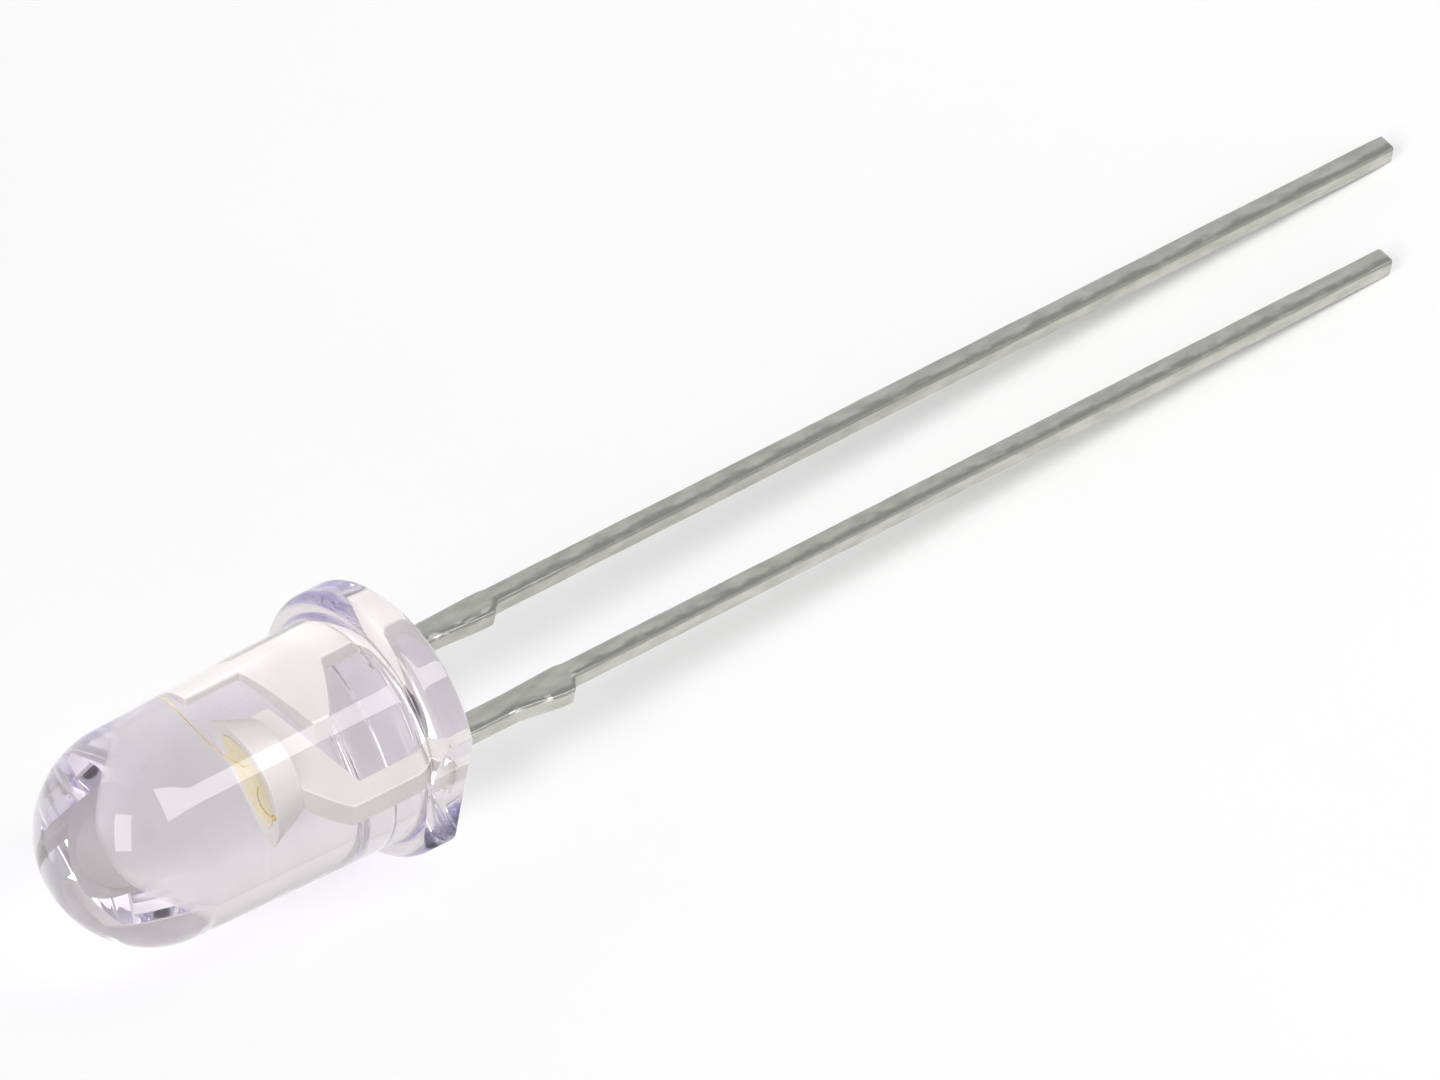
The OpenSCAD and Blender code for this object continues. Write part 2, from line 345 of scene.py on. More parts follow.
def select_edges(piece, wanted):
    """In edit mode, selects only the edges for which wanted(one end, other end) is true."""
    bpy.ops.mesh.select_mode(type="EDGE")
    bpy.ops.mesh.select_all(action="DESELECT")
    mesh = bmesh.from_edit_mesh(piece.data)
    for edge in mesh.edges:
        edge.select_set(bool(wanted(*(v.co for v in edge.verts))))
    bmesh.update_edit_mesh(piece.data)


def face_outwards():
    """In edit mode, closes what lies together and turns every face outwards."""
    bpy.ops.mesh.select_all(action="SELECT")
    bpy.ops.mesh.remove_doubles(threshold=WELD)
    bpy.ops.mesh.normals_make_consistent(inside=False)


def apply_modifier(piece, kind, **settings):
    """Adds a modifier, sets it and applies it."""
    pick(piece)
    modifier = piece.modifiers.new(kind, kind)
    for key, value in settings.items():
        setattr(modifier, key, value)
    bpy.ops.object.modifier_apply(modifier=modifier.name)


def soften_edges(piece, radius, limit=30):
    """Rounds the edges where faces turn by more than limit, in degrees."""
    apply_modifier(piece, "BEVEL", width=radius, segments=3, limit_method="ANGLE",
                   angle_limit=math.radians(limit), harden_normals=False)


def unite(piece, other):
    """Joins other into piece as one closed shell."""
    apply_modifier(piece, "BOOLEAN", operation="UNION", solver="EXACT", object=other)
    bpy.data.objects.remove(other)


def spun(name, profile, sides):
    """A shape turned round the axis from its profile, a list of radius and height."""
    deselect()
    bpy.ops.mesh.primitive_plane_add(size=SEED_W, location=(profile[0][0], 0, profile[0][1]))
    piece = added(name)
    bpy.ops.object.transform_apply(location=True, rotation=False, scale=False)
    edit()
    bpy.ops.mesh.select_mode(type="VERT")
    bpy.ops.mesh.select_all(action="SELECT")
    bpy.ops.mesh.merge(type="CENTER")
    for (r, z), (next_r, next_z) in pairwise(profile):
        bpy.ops.mesh.extrude_region_move(
            TRANSFORM_OT_translate={"value": (next_r - r, 0, next_z - z)})
    bpy.ops.mesh.select_all(action="SELECT")
    bpy.ops.mesh.spin(steps=sides, angle=2 * math.pi, center=(0, 0, 0), axis=(0, 0, 1))
    face_outwards()
    leave_edit()
    return piece


def arc(centre, radius, start, end, steps):
    """Points on an arc from angle start to angle end, in degrees."""
    points = []
    for step in range(steps + 1):
        turn = math.radians(start + (end - start) * step / steps)
        points.append((centre[0] + radius * math.cos(turn), centre[1] + radius * math.sin(turn)))
    return points


def line(start, end, steps):
    """Points from start to end, without the first one."""
    return [(start[0] + (end[0] - start[0]) * k / steps, start[1] + (end[1] - start[1]) * k / steps)
            for k in range(1, steps + 1)]


def smooth(piece, limit=30):
    """Shades the rounded edges smooth and the faces between them flat."""
    pick(piece)
    bpy.ops.object.shade_smooth_by_angle(angle=math.radians(limit), keep_sharp_edges=True)
    apply_modifier(piece, "WEIGHTED_NORMAL", keep_sharp=True)


def lay_down(piece, leads):
    """Takes a finished piece from the lamp's own frame to its rest, with its place in its mesh."""
    pick(piece)
    piece.matrix_world = rest_place(leads) @ Matrix.Scale(MM, 4)
    bpy.ops.object.transform_apply(location=True, rotation=True, scale=True)


def hand_over(piece, material, node):
    """Gives a piece its finish, its body and the node that it stands for."""
    piece.data.materials.clear()
    piece.data.materials.append(material)
    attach(piece, BODY)
    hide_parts(node)


def lens_profile(lens):
    """Profile of the lens, as radius and height, from the middle of the seat to the dome's tip.

    The barrel's side slopes in by the draft and meets the dome without a crease, and the flange's
    upper edge runs straight on into the hollow at the barrel's root.
    """
    barrel_r = lens.barrel_d / 2
    flange_r = lens.flange_d / 2
    dome_z = lens.height - lens.dome_r
    run = dome_z - lens.flange_h
    draft = math.acos(lens.dome_r / math.hypot(barrel_r, run)) - math.atan2(run, barrel_r)
    root_x = barrel_r - lens.root_r * math.tan(draft) + lens.root_r / math.cos(draft)
    edge_c = (flange_r - lens.edge_r, lens.flange_h - lens.edge_r)
    span = lens.edge_r + lens.root_r
    lean = root_x - edge_c[0]
    root_c = (root_x, edge_c[1] + math.sqrt(span * span - lean * lean))
    touch = math.degrees(math.atan2(root_c[1] - edge_c[1], lean))
    seat_c = (flange_r - lens.seat_r, lens.seat_r)
    slope = math.degrees(draft)

    seat = [(seat_c[0] * k / RINGS.seat, lens.dish * (1 - (k / RINGS.seat) ** 2))
            for k in range(RINGS.seat)]
    rim = arc(seat_c, lens.seat_r, -90, 0, RINGS.rim)
    shoulder = arc(edge_c, lens.edge_r, 0, touch, RINGS.shoulder)
    root = arc(root_c, lens.root_r, touch + 180, 180 + slope, RINGS.root)
    dome = arc((0, dome_z), lens.dome_r, slope, 90, RINGS.dome)
    side = line(root[-1], dome[0], RINGS.side)[:-1]
    wall = line(rim[-1], shoulder[0], RINGS.wall)[:-1]
    return seat + rim + wall + shoulder + root[1:] + side + dome[:-1] + [(0, lens.height)]


def resin_wick(lens, leads, x):
    """The resin that creeps down a lead: a hollow-sided foot that starts inside the lens."""
    centre = (x, 0, 0)
    top = lens.dish * 2
    section = Vector((leads.width + leads.shank_extra, leads.sheet))
    collar = Vector((2, 2)) * lens.wick_w
    stations = [(top, 1.0)]
    stations += [(-lens.wick_h * k / WICK_RINGS, WICK_END + (1 - k / WICK_RINGS) ** WICK_HOLLOW)
                 for k in range(WICK_RINGS + 1)]
    deselect()
    bpy.ops.mesh.primitive_plane_add(size=1, location=(x, 0, top))
    foot = added("resin_wick")
    bpy.ops.object.transform_apply(location=True, rotation=False, scale=False)
    edit()
    size = section + collar
    bpy.ops.transform.resize(value=(size.x, size.y, 1), center_override=centre)
    bpy.ops.mesh.bevel(offset=lens.wick_w, segments=6, affect="VERTICES")
    for (z, spread), (next_z, next_spread) in pairwise(stations):
        bpy.ops.mesh.extrude_region_move(TRANSFORM_OT_translate={"value": (0, 0, next_z - z)})
        old = section + collar * spread
        new = section + collar * next_spread
        bpy.ops.transform.resize(value=(new.x / old.x, new.y / old.y, 1), center_override=centre)
    face_outwards()
    leave_edit()
    return foot


class LED_OT_epoxy_lens(Operator):
    """Spin the clear lens, cut its flat and let the resin creep down the leads"""
    bl_idname = "led.epoxy_lens"
    bl_label = "Epoxy lens"

    def execute(self, context):
        lens = sizes_of(context.scene.led_lens)
        leads = sizes_of(context.scene.led_leads)
        piece = spun("epoxy_lens", lens_profile(lens), LENS_SIDES)
        pick(piece)
        edit()
        bpy.ops.mesh.select_all(action="SELECT")
        bpy.ops.mesh.bisect(plane_co=(lens.flat_x, 0, 0), plane_no=(1, 0, 0), use_fill=True,
                            clear_outer=True, threshold=CUT_WELD)
        face_outwards()
        leave_edit()
        half_pitch = leads.pitch / 2
        for side in (-1, 1):
            x = side * half_pitch + leads.shank_extra / 2
            unite(piece, resin_wick(lens, leads, x))
        smooth(piece, limit=35)
        lay_down(piece, leads)
        hand_over(piece, epoxy_material(context.scene.led_finish), "lens")
        return {"FINISHED"}


def edge_at(outline, z):
    """Where an edge, a list of height and place, lies at height z."""
    for (low, x), (high, next_x) in pairwise(outline):
        if z <= high:
            return x + (next_x - x) * max(0, z - low) / (high - low)
    return outline[-1][1]


def stations_of(left, right, leg_rings, leg_top):
    """Heights with both edges' places, where either edge turns and along the free leg."""
    tip = left[0][0]
    heights = {z for z, _ in left + right}
    heights |= {tip + (leg_top - tip) * k / leg_rings for k in range(leg_rings)}
    return [(z, edge_at(left, z), edge_at(right, z)) for z in sorted(heights)]


def stamped(name, stations, thickness):
    """A sheet metal strip extruded upwards through its stations: height, left and right edge."""
    z, left, right = stations[0]
    deselect()
    bpy.ops.mesh.primitive_plane_add(size=1, location=((left + right) / 2, 0, z))
    piece = added(name)
    bpy.ops.object.transform_apply(location=True, rotation=False, scale=False)
    edit()
    bpy.ops.transform.resize(value=(right - left, thickness, 1),
                             center_override=((left + right) / 2, 0, z))
    for (z, left, right), (next_z, next_left, next_right) in pairwise(stations):
        shift = (next_left + next_right - left - right) / 2
        bpy.ops.mesh.extrude_region_move(
            TRANSFORM_OT_translate={"value": (shift, 0, next_z - z)})
        bpy.ops.transform.resize(value=((next_right - next_left) / (right - left), 1, 1),
                                 center_override=((next_left + next_right) / 2, 0, next_z))
    face_outwards()
    leave_edit()
    return piece


def stub_foot(leads):
    """Height of the stub's lower end, where the free leg starts."""
    return -leads.stub_start - leads.stub_len


def stub_edges(leads, x, out):
    """Both edges of a lead's tie bar stub, each a list of height and place."""
    half = leads.width / 2
    end = stub_foot(leads)
    ramp = -leads.stub_start - leads.stub_ramp
    left = [(end, x - half), (end + leads.stub_shear, x - half - leads.stub_back),
            (ramp, x - half - leads.stub_back), (-leads.stub_start, x - half)]
    right = [(end, x + half), (end + leads.stub_shear, x + half + out),
             (ramp, x + half + out), (-leads.stub_start, x + half + leads.shank_extra)]
    return left, right


def finish_lead(context, piece, leads, right, node):
    """Marks the distance from the stub's edge, lays the lead down and gives it its finish."""
    marks = piece.data.attributes.new(FROM_EDGE, "FLOAT", "POINT")
    for point, mark in zip(piece.data.vertices, marks.data):
        mark.value = edge_at(right, point.co.z) - point.co.x
    lay_down(piece, leads)
    hand_over(piece, tin_material(context.scene.led_finish, leads), node)


def tin_coat(piece, leads, waves):
    """Rounds the stamped edges and the cut end, and gives the tin coat its slight waviness."""
    pick(piece)
    edit()
    tip = min(v.co.z for v in bmesh.from_edit_mesh(piece.data).verts)
    margin = 0.01
    select_edges(piece, lambda a, b: max(a.z, b.z) < tip + margin)
    bpy.ops.mesh.bevel(offset=leads.tip_r, segments=3, affect="EDGES")
    leave_edit()
    soften_edges(piece, leads.edge_r)
    clouds = bpy.data.textures.new("tin_waviness", "CLOUDS")
    clouds.noise_scale = waves
    clouds.noise_depth = 1
    apply_modifier(piece, "DISPLACE", texture=clouds, texture_coords="LOCAL",
                   strength=leads.wander, mid_level=1.0)


def head_foot(head):
    """Height of the foot of the cup's head."""
    return head.cup_z - head.head_h


class LED_OT_cathode_lead(Operator):
    """Stamp the cathode lead with its anvil, and coin the reflector cup in its head"""
    bl_idname = "led.cathode_lead"
    bl_label = "Cathode lead and cup"

    def execute(self, context):
        leads = sizes_of(context.scene.led_leads)
        head = sizes_of(context.scene.led_head)
        x = leads.pitch / 2
        inner = x - leads.width / 2
        outer = x + leads.width / 2 + leads.shank_extra
        head_z = head_foot(head)
        left, right = stub_edges(leads, x, leads.cathode_stub)
        left = [(-leads.cathode_len, inner)] + left + [
            (head.foot_z, inner), (head_z - head.side_h, -head.half_w), (head_z, -head.half_w)]
        right = [(-leads.cathode_len, x + leads.width / 2)] + right + [
            (head_z - head.shoulder_h, outer), (head_z, head.half_w)]
        stations = stations_of(left, right, CATHODE_RINGS, stub_foot(leads))
        piece = stamped("cathode_stamping", stations, leads.sheet)
        tin_coat(piece, leads, CATHODE_WAVES)
        unite(piece, reflector_head(head))
        smooth(piece)
        finish_lead(context, piece, leads, right, "cathode_lead")
        return {"FINISHED"}


def reflector_head(head):
    """The coined head of the anvil: a cone with the cup sunk into its top."""
    overlap = 0.02
    height = head.head_h + overlap
    deselect()
    bpy.ops.mesh.primitive_cone_add(vertices=CUP_SIDES, radius1=head.head_foot_r,
                                    radius2=head.head_r, depth=height,
                                    location=(0, 0, head.cup_z - height / 2))
    piece = added("reflector_head")
    bpy.ops.object.transform_apply(location=True, rotation=False, scale=False)
    edit()
    select_faces(piece, lambda middle, normal: normal.z > UPWARDS)
    bpy.ops.mesh.inset(thickness=head.head_r - head.mouth_r)
    for k in range(CUP_RINGS):
        bpy.ops.mesh.extrude_region_move(
            TRANSFORM_OT_translate={"value": (0, 0, -head.depth / CUP_RINGS)})
        wall = head.mouth_r - (head.mouth_r - head.floor_r) * k / CUP_RINGS
        next_wall = head.mouth_r - (head.mouth_r - head.floor_r) * (k + 1) / CUP_RINGS
        bpy.ops.transform.resize(value=(next_wall / wall, next_wall / wall, 1),
                                 center_override=(0, 0, 0))
    face_outwards()
    leave_edit()
    soften_edges(piece, HEAD_EDGE_R, limit=25)
    return piece


class LED_OT_anode_lead(Operator):
    """Stamp the anode lead with its post"""
    bl_idname = "led.anode_lead"
    bl_label = "Anode lead and post"

    def execute(self, context):
        leads = sizes_of(context.scene.led_leads)
        head = sizes_of(context.scene.led_head)
        x = -leads.pitch / 2
        half = leads.width / 2
        head_z = head_foot(head)
        anvil_in = -x - half
        rise = (head_z - head.side_h - head.foot_z) / (anvil_in + head.half_w)
        drop = head.gap * math.hypot(1, rise)

        def under_anvil(place):
            """Height of the post's sloping edge, which keeps the gap to the anvil."""
            return head.foot_z + (anvil_in - place) * rise - drop

        post_z = head.cup_z + head.post_rise
        post_in = -head.head_r - head.gap
        post_out = post_in - head.post_w
        shank_in = x + half + leads.shank_extra
        toe_x = shank_in + head.post_toe
        toe_top = under_anvil(toe_x)
        toe_foot = toe_top - leads.width
        left, right = stub_edges(leads, x, leads.anode_stub)
        left = [(-leads.anode_len, x - half)] + left + [
            (post_z - head.post_flag_h - head.post_w, x - half),
            (post_z - head.post_flag_h, post_out), (post_z, post_out)]
        right = [(-leads.anode_len, x + half)] + right + [
            (toe_foot - head.post_toe, shank_in), (toe_foot, toe_x), (toe_top, toe_x),
            (under_anvil(post_in), post_in), (post_z, post_in)]
        stations = stations_of(left, right, ANODE_RINGS, stub_foot(leads))
        piece = stamped("anode_stamping", stations, leads.sheet)
        tin_coat(piece, leads, ANODE_WAVES)
        smooth(piece)
        finish_lead(context, piece, leads, right, "anode_lead")
        return {"FINISHED"}


class LED_OT_phosphor_fill(Operator):
    """Fill the reflector cup with phosphor in silicone, sagging a little in its middle"""
    bl_idname = "led.phosphor_fill"
    bl_label = "Phosphor fill"

    def execute(self, context):
        leads = sizes_of(context.scene.led_leads)
        head = sizes_of(context.scene.led_head)
        floor_z = head.cup_z - head.depth
        gap = 0.004
        rings = 16
        profile = [(0, floor_z + gap), (head.floor_r - gap, floor_z + gap),
                   (head.mouth_r - gap, head.cup_z - gap)]
        profile += [((head.mouth_r - gap) * (1 - k / rings),
                     head.cup_z - gap - head.sag * (1 - (1 - k / rings) ** 2))
                    for k in range(1, rings + 1)]
        piece = spun("phosphor_fill", profile, CUP_SIDES)
        smooth(piece, limit=40)
        lay_down(piece, leads)
        hand_over(piece, phosphor_material(context.scene.led_finish), "phosphor")
        return {"FINISHED"}


class LED_OT_inner_finish(Operator):
    """Give the chip, its adhesive and the bond wires their finishes"""
    bl_idname = "led.inner_finish"
    bl_label = "Chip and wire finishes"

    def execute(self, context):
        look = context.scene.led_finish
        finishes = {
            "die_attach": adhesive_material(look),
            "led_chip": chip_material(look),
            "anode_bond_wire": gold_material(look),
            "cathode_bond_wire": gold_material(look),
        }
        for node, material in finishes.items():
            mesh = frame["nodes"][node].data
            mesh.materials.clear()
            mesh.materials.append(material)
        return {"FINISHED"}


def new_material(name):
    """A material with its nodes, its Principled shader and its output."""
    material = bpy.data.materials.new(name)
    material.use_nodes = True
    nodes = material.node_tree.nodes
    return material, nodes, material.node_tree.links, nodes["Principled BSDF"]


def mottle_group():
    """Shared group: soft noise on the piece, as a mask, a mixed colour and a bumped normal."""
    name = "Surface mottle"
    if name in bpy.data.node_groups:
        return bpy.data.node_groups[name]
    group = bpy.data.node_groups.new(name, "ShaderNodeTree")
    sockets = group.interface.new_socket
    sockets("Vector", in_out="INPUT", socket_type="NodeSocketVector")
    for socket_name, value in (("Scale", 1.0), ("Detail", 3.0), ("Low", 0.3), ("High", 0.7),
                               ("Height", 0.1), ("Distance", 0.0001)):
        sockets(socket_name, in_out="INPUT", socket_type="NodeSocketFloat").default_value = value
    for socket_name in ("Colour A", "Colour B"):
        sockets(socket_name, in_out="INPUT", socket_type="NodeSocketColor")
    sockets("Mask", in_out="OUTPUT", socket_type="NodeSocketFloat")
    sockets("Colour", in_out="OUTPUT", socket_type="NodeSocketColor")
    sockets("Normal", in_out="OUTPUT", socket_type="NodeSocketVector")
    nodes, links = group.nodes, group.links
    source = nodes.new("NodeGroupInput")
    result = nodes.new("NodeGroupOutput")
    noise = nodes.new("ShaderNodeTexNoise")
    spread = nodes.new("ShaderNodeMapRange")
    mix = nodes.new("ShaderNodeMix")
    mix.data_type = "RGBA"
    bump = nodes.new("ShaderNodeBump")
    links.new(source.outputs["Vector"], noise.inputs["Vector"])
    links.new(source.outputs["Scale"], noise.inputs["Scale"])
    links.new(source.outputs["Detail"], noise.inputs["Detail"])
    links.new(noise.outputs["Fac"], spread.inputs["Value"])
    links.new(source.outputs["Low"], spread.inputs["From Min"])
    links.new(source.outputs["High"], spread.inputs["From Max"])
    links.new(spread.outputs["Result"], mix.inputs["Factor"])
    links.new(source.outputs["Colour A"], mix.inputs["A"])
    links.new(source.outputs["Colour B"], mix.inputs["B"])
    links.new(source.outputs["Height"], bump.inputs["Strength"])
    links.new(source.outputs["Distance"], bump.inputs["Distance"])
    links.new(noise.outputs["Fac"], bump.inputs["Height"])
    links.new(spread.outputs["Result"], result.inputs["Mask"])
    links.new(mix.outputs["Result"], result.inputs["Colour"])
    links.new(bump.outputs["Normal"], result.inputs["Normal"])
    return group


def mottle(nodes, links, colours=(), vector=None, **values):
    """Places the shared mottle in a material, with its own two colours and values."""
    node = nodes.new("ShaderNodeGroup")
    node.node_tree = mottle_group()
    if vector is None:
        vector = nodes.new("ShaderNodeTexCoord").outputs["Object"]
    links.new(vector, node.inputs["Vector"])
    for key, value in zip(("Colour A", "Colour B"), colours):
        node.inputs[key].default_value = (*value, 1)
    for key, value in values.items():
        node.inputs[key].default_value = value
    return node


def lamp_coordinates(nodes, links, leads):
    """Object coordinates turned back into the lamp's own frame, in millimetres."""
    place = rest_place(leads)
    coordinates = nodes.new("ShaderNodeTexCoord")
    mapping = nodes.new("ShaderNodeMapping")
    mapping.vector_type = "TEXTURE"
    mapping.inputs["Location"].default_value = place.translation
    mapping.inputs["Rotation"].default_value = place.to_euler()
    mapping.inputs["Scale"].default_value = (MM, MM, MM)
    links.new(coordinates.outputs["Object"], mapping.inputs["Vector"])
    return mapping.outputs["Vector"]


def feed(links, socket, value):
    """Gives a socket its value, a number or another node's output."""
    if isinstance(value, (int, float)):
        socket.default_value = value
    else:
        links.new(value, socket)


def ranged(nodes, links, mask, start, end):
    """A value that goes from start to end, numbers or outputs, as a mask goes from 0 to 1."""
    node = nodes.new("ShaderNodeMapRange")
    links.new(mask, node.inputs["Value"])
    feed(links, node.inputs["To Min"], start)
    feed(links, node.inputs["To Max"], end)
    return node.outputs["Result"]


def calculated(nodes, links, operation, *values):
    """A Math node's result; each value is a number or another node's output."""
    node = nodes.new("ShaderNodeMath")
    node.operation = operation
    for socket, value in zip(node.inputs, values):
        feed(links, socket, value)
    return node.outputs["Value"]


def stepped(nodes, links, value, start, end):
    """A mask that rises smoothly from 0 at start to 1 at end."""
    node = nodes.new("ShaderNodeMapRange")
    node.interpolation_type = "SMOOTHSTEP"
    node.inputs["From Min"].default_value = start
    node.inputs["From Max"].default_value = end
    links.new(value, node.inputs["Value"])
    return node.outputs["Result"]


def mixed(nodes, links, mask, first, second):
    """A colour between two outputs' colours, driven by a mask."""
    node = nodes.new("ShaderNodeMix")
    node.data_type = "RGBA"
    links.new(mask, node.inputs["Factor"])
    links.new(first, node.inputs["A"])
    links.new(second, node.inputs["B"])
    return node.outputs["Result"]


def plain(nodes, value):
    """An output with one colour."""
    node = nodes.new("ShaderNodeRGB")
    node.outputs["Color"].default_value = (*value, 1)
    return node.outputs["Color"]


def painted_shade_band(nodes, links, leads, split, waves):
    """Painted shade mask, wavy-bordered, over the rounded edge down the stub's side of a leg."""
    edge = nodes.new("ShaderNodeAttribute")
    edge.attribute_name = FROM_EDGE
    wavy = calculated(nodes, links, "MULTIPLY_ADD", waves, leads.edge_wave, edge.outputs["Fac"])
    near_edge = stepped(nodes, links, wavy, leads.painted_shade_band, leads.painted_shade_band / 2)
    flat = leads.sheet / 2 - leads.edge_r
    on_face = stepped(nodes, links, split.outputs["Y"], flat, flat + leads.edge_r / 2)
    return calculated(nodes, links, "MULTIPLY", near_edge, on_face)


def darker(value, share_left):
    """A colour with only a share of its light left."""
    return [channel * share_left for channel in value]


def dress(nodes, links, shader, skin, start, end):
    """Gives a shader a mottle's colour and normal, and a roughness from start to end by its mask."""
    links.new(skin.outputs["Colour"], shader.inputs["Base Color"])
    links.new(skin.outputs["Normal"], shader.inputs["Normal"])
    roughness = ranged(nodes, links, skin.outputs["Mask"], start, end)
    links.new(roughness, shader.inputs["Roughness"])


def epoxy_material(look):
    """Clear cast epoxy with a faint violet toner, a rippled skin and light shadows."""
    material, nodes, links, shader = new_material("cast_epoxy")
    skin = mottle(nodes, links, (look.epoxy, look.epoxy_clear), Scale=900.0, Detail=2.0,
                  Height=0.06, Distance=0.00003)
    dress(nodes, links, shader, skin, start=0.0, end=0.02)
    shader.inputs["Metallic"].default_value = 0
    shader.inputs["IOR"].default_value = EPOXY_IOR
    shader.inputs["Transmission Weight"].default_value = 1

    toner = nodes.new("ShaderNodeVolumeAbsorption")
    toner.inputs["Color"].default_value = (*look.epoxy_depth, 1)
    toner.inputs["Density"].default_value = look.epoxy_density
    pale = nodes.new("ShaderNodeBsdfTransparent")
    pale.inputs["Color"].default_value = (*look.epoxy_shadow, 1)
    path = nodes.new("ShaderNodeLightPath")
    mix = nodes.new("ShaderNodeMixShader")
    output = nodes["Material Output"]
    links.new(path.outputs["Is Shadow Ray"], mix.inputs["Fac"])
    links.new(shader.outputs["BSDF"], mix.inputs[1])
    links.new(pale.outputs["BSDF"], mix.inputs[2])
    links.new(mix.outputs["Shader"], output.inputs["Surface"])
    links.new(toner.outputs["Volume"], output.inputs["Volume"])
    return material


def tin_material(look, leads):
    """Hot dipped tin on the legs, duller and brighter by turns, with painted shade and painted
    glints along one edge, and silver plate in the lens.
    """
    name = "lead_frame_plating"
    if name in bpy.data.materials:
        return bpy.data.materials[name]
    material, nodes, links, shader = new_material(name)
    place = lamp_coordinates(nodes, links, leads)
    cells = nodes.new("ShaderNodeVectorMath")
    cells.operation = "DIVIDE"
    cells.inputs[1].default_value = TIN_CELL
    links.new(place, cells.inputs[0])
    streaks = mottle(nodes, links, (look.tin_dull, look.tin), cells.outputs["Vector"], Scale=1.0,
                     Detail=3.0, Low=0.36, High=0.64, Distance=0.00004)
    split = nodes.new("ShaderNodeSeparateXYZ")
    links.new(place, split.inputs["Vector"])
    plated = stepped(nodes, links, split.outputs["Z"], -PLATE_FADE, PLATE_FADE)
    links.new(ranged(nodes, links, plated, TIN_BUMP, PLATE_BUMP), streaks.inputs["Height"])
    on_legs = calculated(nodes, links, "SUBTRACT", 1.0, plated)
    # Painted shade along the edge on the stub's side, in place of the dark studio's reflection
    painted_shade = calculated(nodes, links, "MULTIPLY", on_legs,
                      painted_shade_band(nodes, links, leads, split, streaks.outputs["Mask"]))
    # Glints: specks in the band get a real lower roughness and a painted highlight in the silver
    # colour
    glint_noise = mottle(nodes, links, vector=cells.outputs["Vector"], Scale=1.3, Detail=1.0, Low=0.58,
                    High=0.66, Height=0.0)
    foot = stub_foot(leads)
    stub_zone = stepped(nodes, links, split.outputs["Z"], foot - SPECK_FADE, foot)
    painted_glints = calculated(nodes, links, "MULTIPLY", glint_noise.outputs["Mask"],
                        ranged(nodes, links, stub_zone, FAR_SPECKS, 1.0))
    # Painted shade colour, lit up to silver at the painted glints
    shade_and_glints = mixed(nodes, links, painted_glints, plain(nodes, look.painted_edge_shade), plain(nodes, look.silver))
    legs = mixed(nodes, links, painted_shade, streaks.outputs["Colour"], shade_and_glints)
    links.new(mixed(nodes, links, plated, legs, plain(nodes, look.silver)),
              shader.inputs["Base Color"])
    links.new(streaks.outputs["Normal"], shader.inputs["Normal"])
    band_rough = ranged(nodes, links, painted_glints, BAND_ROUGH, SPECK_ROUGH)
    links.new(ranged(nodes, links, painted_shade, TIN_ROUGH, band_rough), shader.inputs["Roughness"])
    links.new(ranged(nodes, links, plated, 1.0, PLATE_METALLIC), shader.inputs["Metallic"])
    return material


def phosphor_material(look):
    """Yellow phosphor powder settled in silicone."""
    material, nodes, links, shader = new_material("cup_phosphor")
    grains = mottle(nodes, links, (look.phosphor_deep, look.phosphor), Scale=9000.0, Detail=4.0,
                    Height=0.25, Distance=0.00001)
    dress(nodes, links, shader, grains, start=0.5, end=0.3)
    shader.inputs["Metallic"].default_value = 0
    return material


def adhesive_material(look):
    """Pale die attach adhesive with a fine grain."""
    material, nodes, links, shader = new_material("adhesive_bed")
    dull = darker(look.adhesive, 0.85)
    grains = mottle(nodes, links, (dull, look.adhesive), Scale=30000.0, Height=0.2,
                    Distance=0.000004)
    dress(nodes, links, shader, grains, start=0.6, end=0.45)
    return material


def chip_material(look):
    """Polished chip with a faint cloudiness."""
    material, nodes, links, shader = new_material("polished_chip")
    deep = darker(look.chip, 0.7)
    clouds = mottle(nodes, links, (deep, look.chip), Scale=12000.0, Height=0.05,
                    Distance=0.000003)
    dress(nodes, links, shader, clouds, start=0.25, end=0.12)
    return material


def gold_material(look):
    """Drawn gold wire."""
    name = "drawn_gold"
    if name in bpy.data.materials:
        return bpy.data.materials[name]
    material, nodes, links, shader = new_material(name)
    deep = darker(look.gold, 0.85)
    drawn = mottle(nodes, links, (deep, look.gold), Scale=20000.0, Height=0.1, Distance=0.000003)
    dress(nodes, links, shader, drawn, start=0.3, end=0.18)
    shader.inputs["Metallic"].default_value = 1
    return material


def direction(azimuth, elevation):
    """The way from the lamp to something that stands at this azimuth and elevation."""
    return Vector((math.sin(azimuth) * math.cos(elevation),
                   -math.cos(azimuth) * math.cos(elevation), math.sin(elevation)))


def camera_axes(studio):
    """The camera's right, its up and the way back to it from the lamp."""
    back = direction(studio.azimuth, studio.elevation)
    right = Vector((math.cos(studio.azimuth), math.sin(studio.azimuth), 0))
    return right, back.cross(right), back


def make_camera(studio):
    """A camera far off with a long lens, so that it sees the lamp almost without perspective."""
    right, up, back = camera_axes(studio)
    pixel = studio.view_w / PHOTO_W
    target = (Vector(seat_mount()["pos_m"])
              + right * (PHOTO_W / 2 - SEAT_PIXEL[0]) * pixel
              + up * (SEAT_PIXEL[1] - PHOTO_H / 2) * pixel)
    deselect()
    bpy.ops.object.camera_add(location=target + back * studio.distance)
    camera = bpy.context.object
    camera.name = "camera"
    camera.rotation_mode = "QUATERNION"
    camera.rotation_quaternion = (-back).to_track_quat("-Z", "Y")
    camera.data.lens = camera.data.sensor_width * studio.distance / studio.view_w
    camera.data.clip_start = studio.distance * NEAR_SHARE
    bpy.context.scene.camera = camera


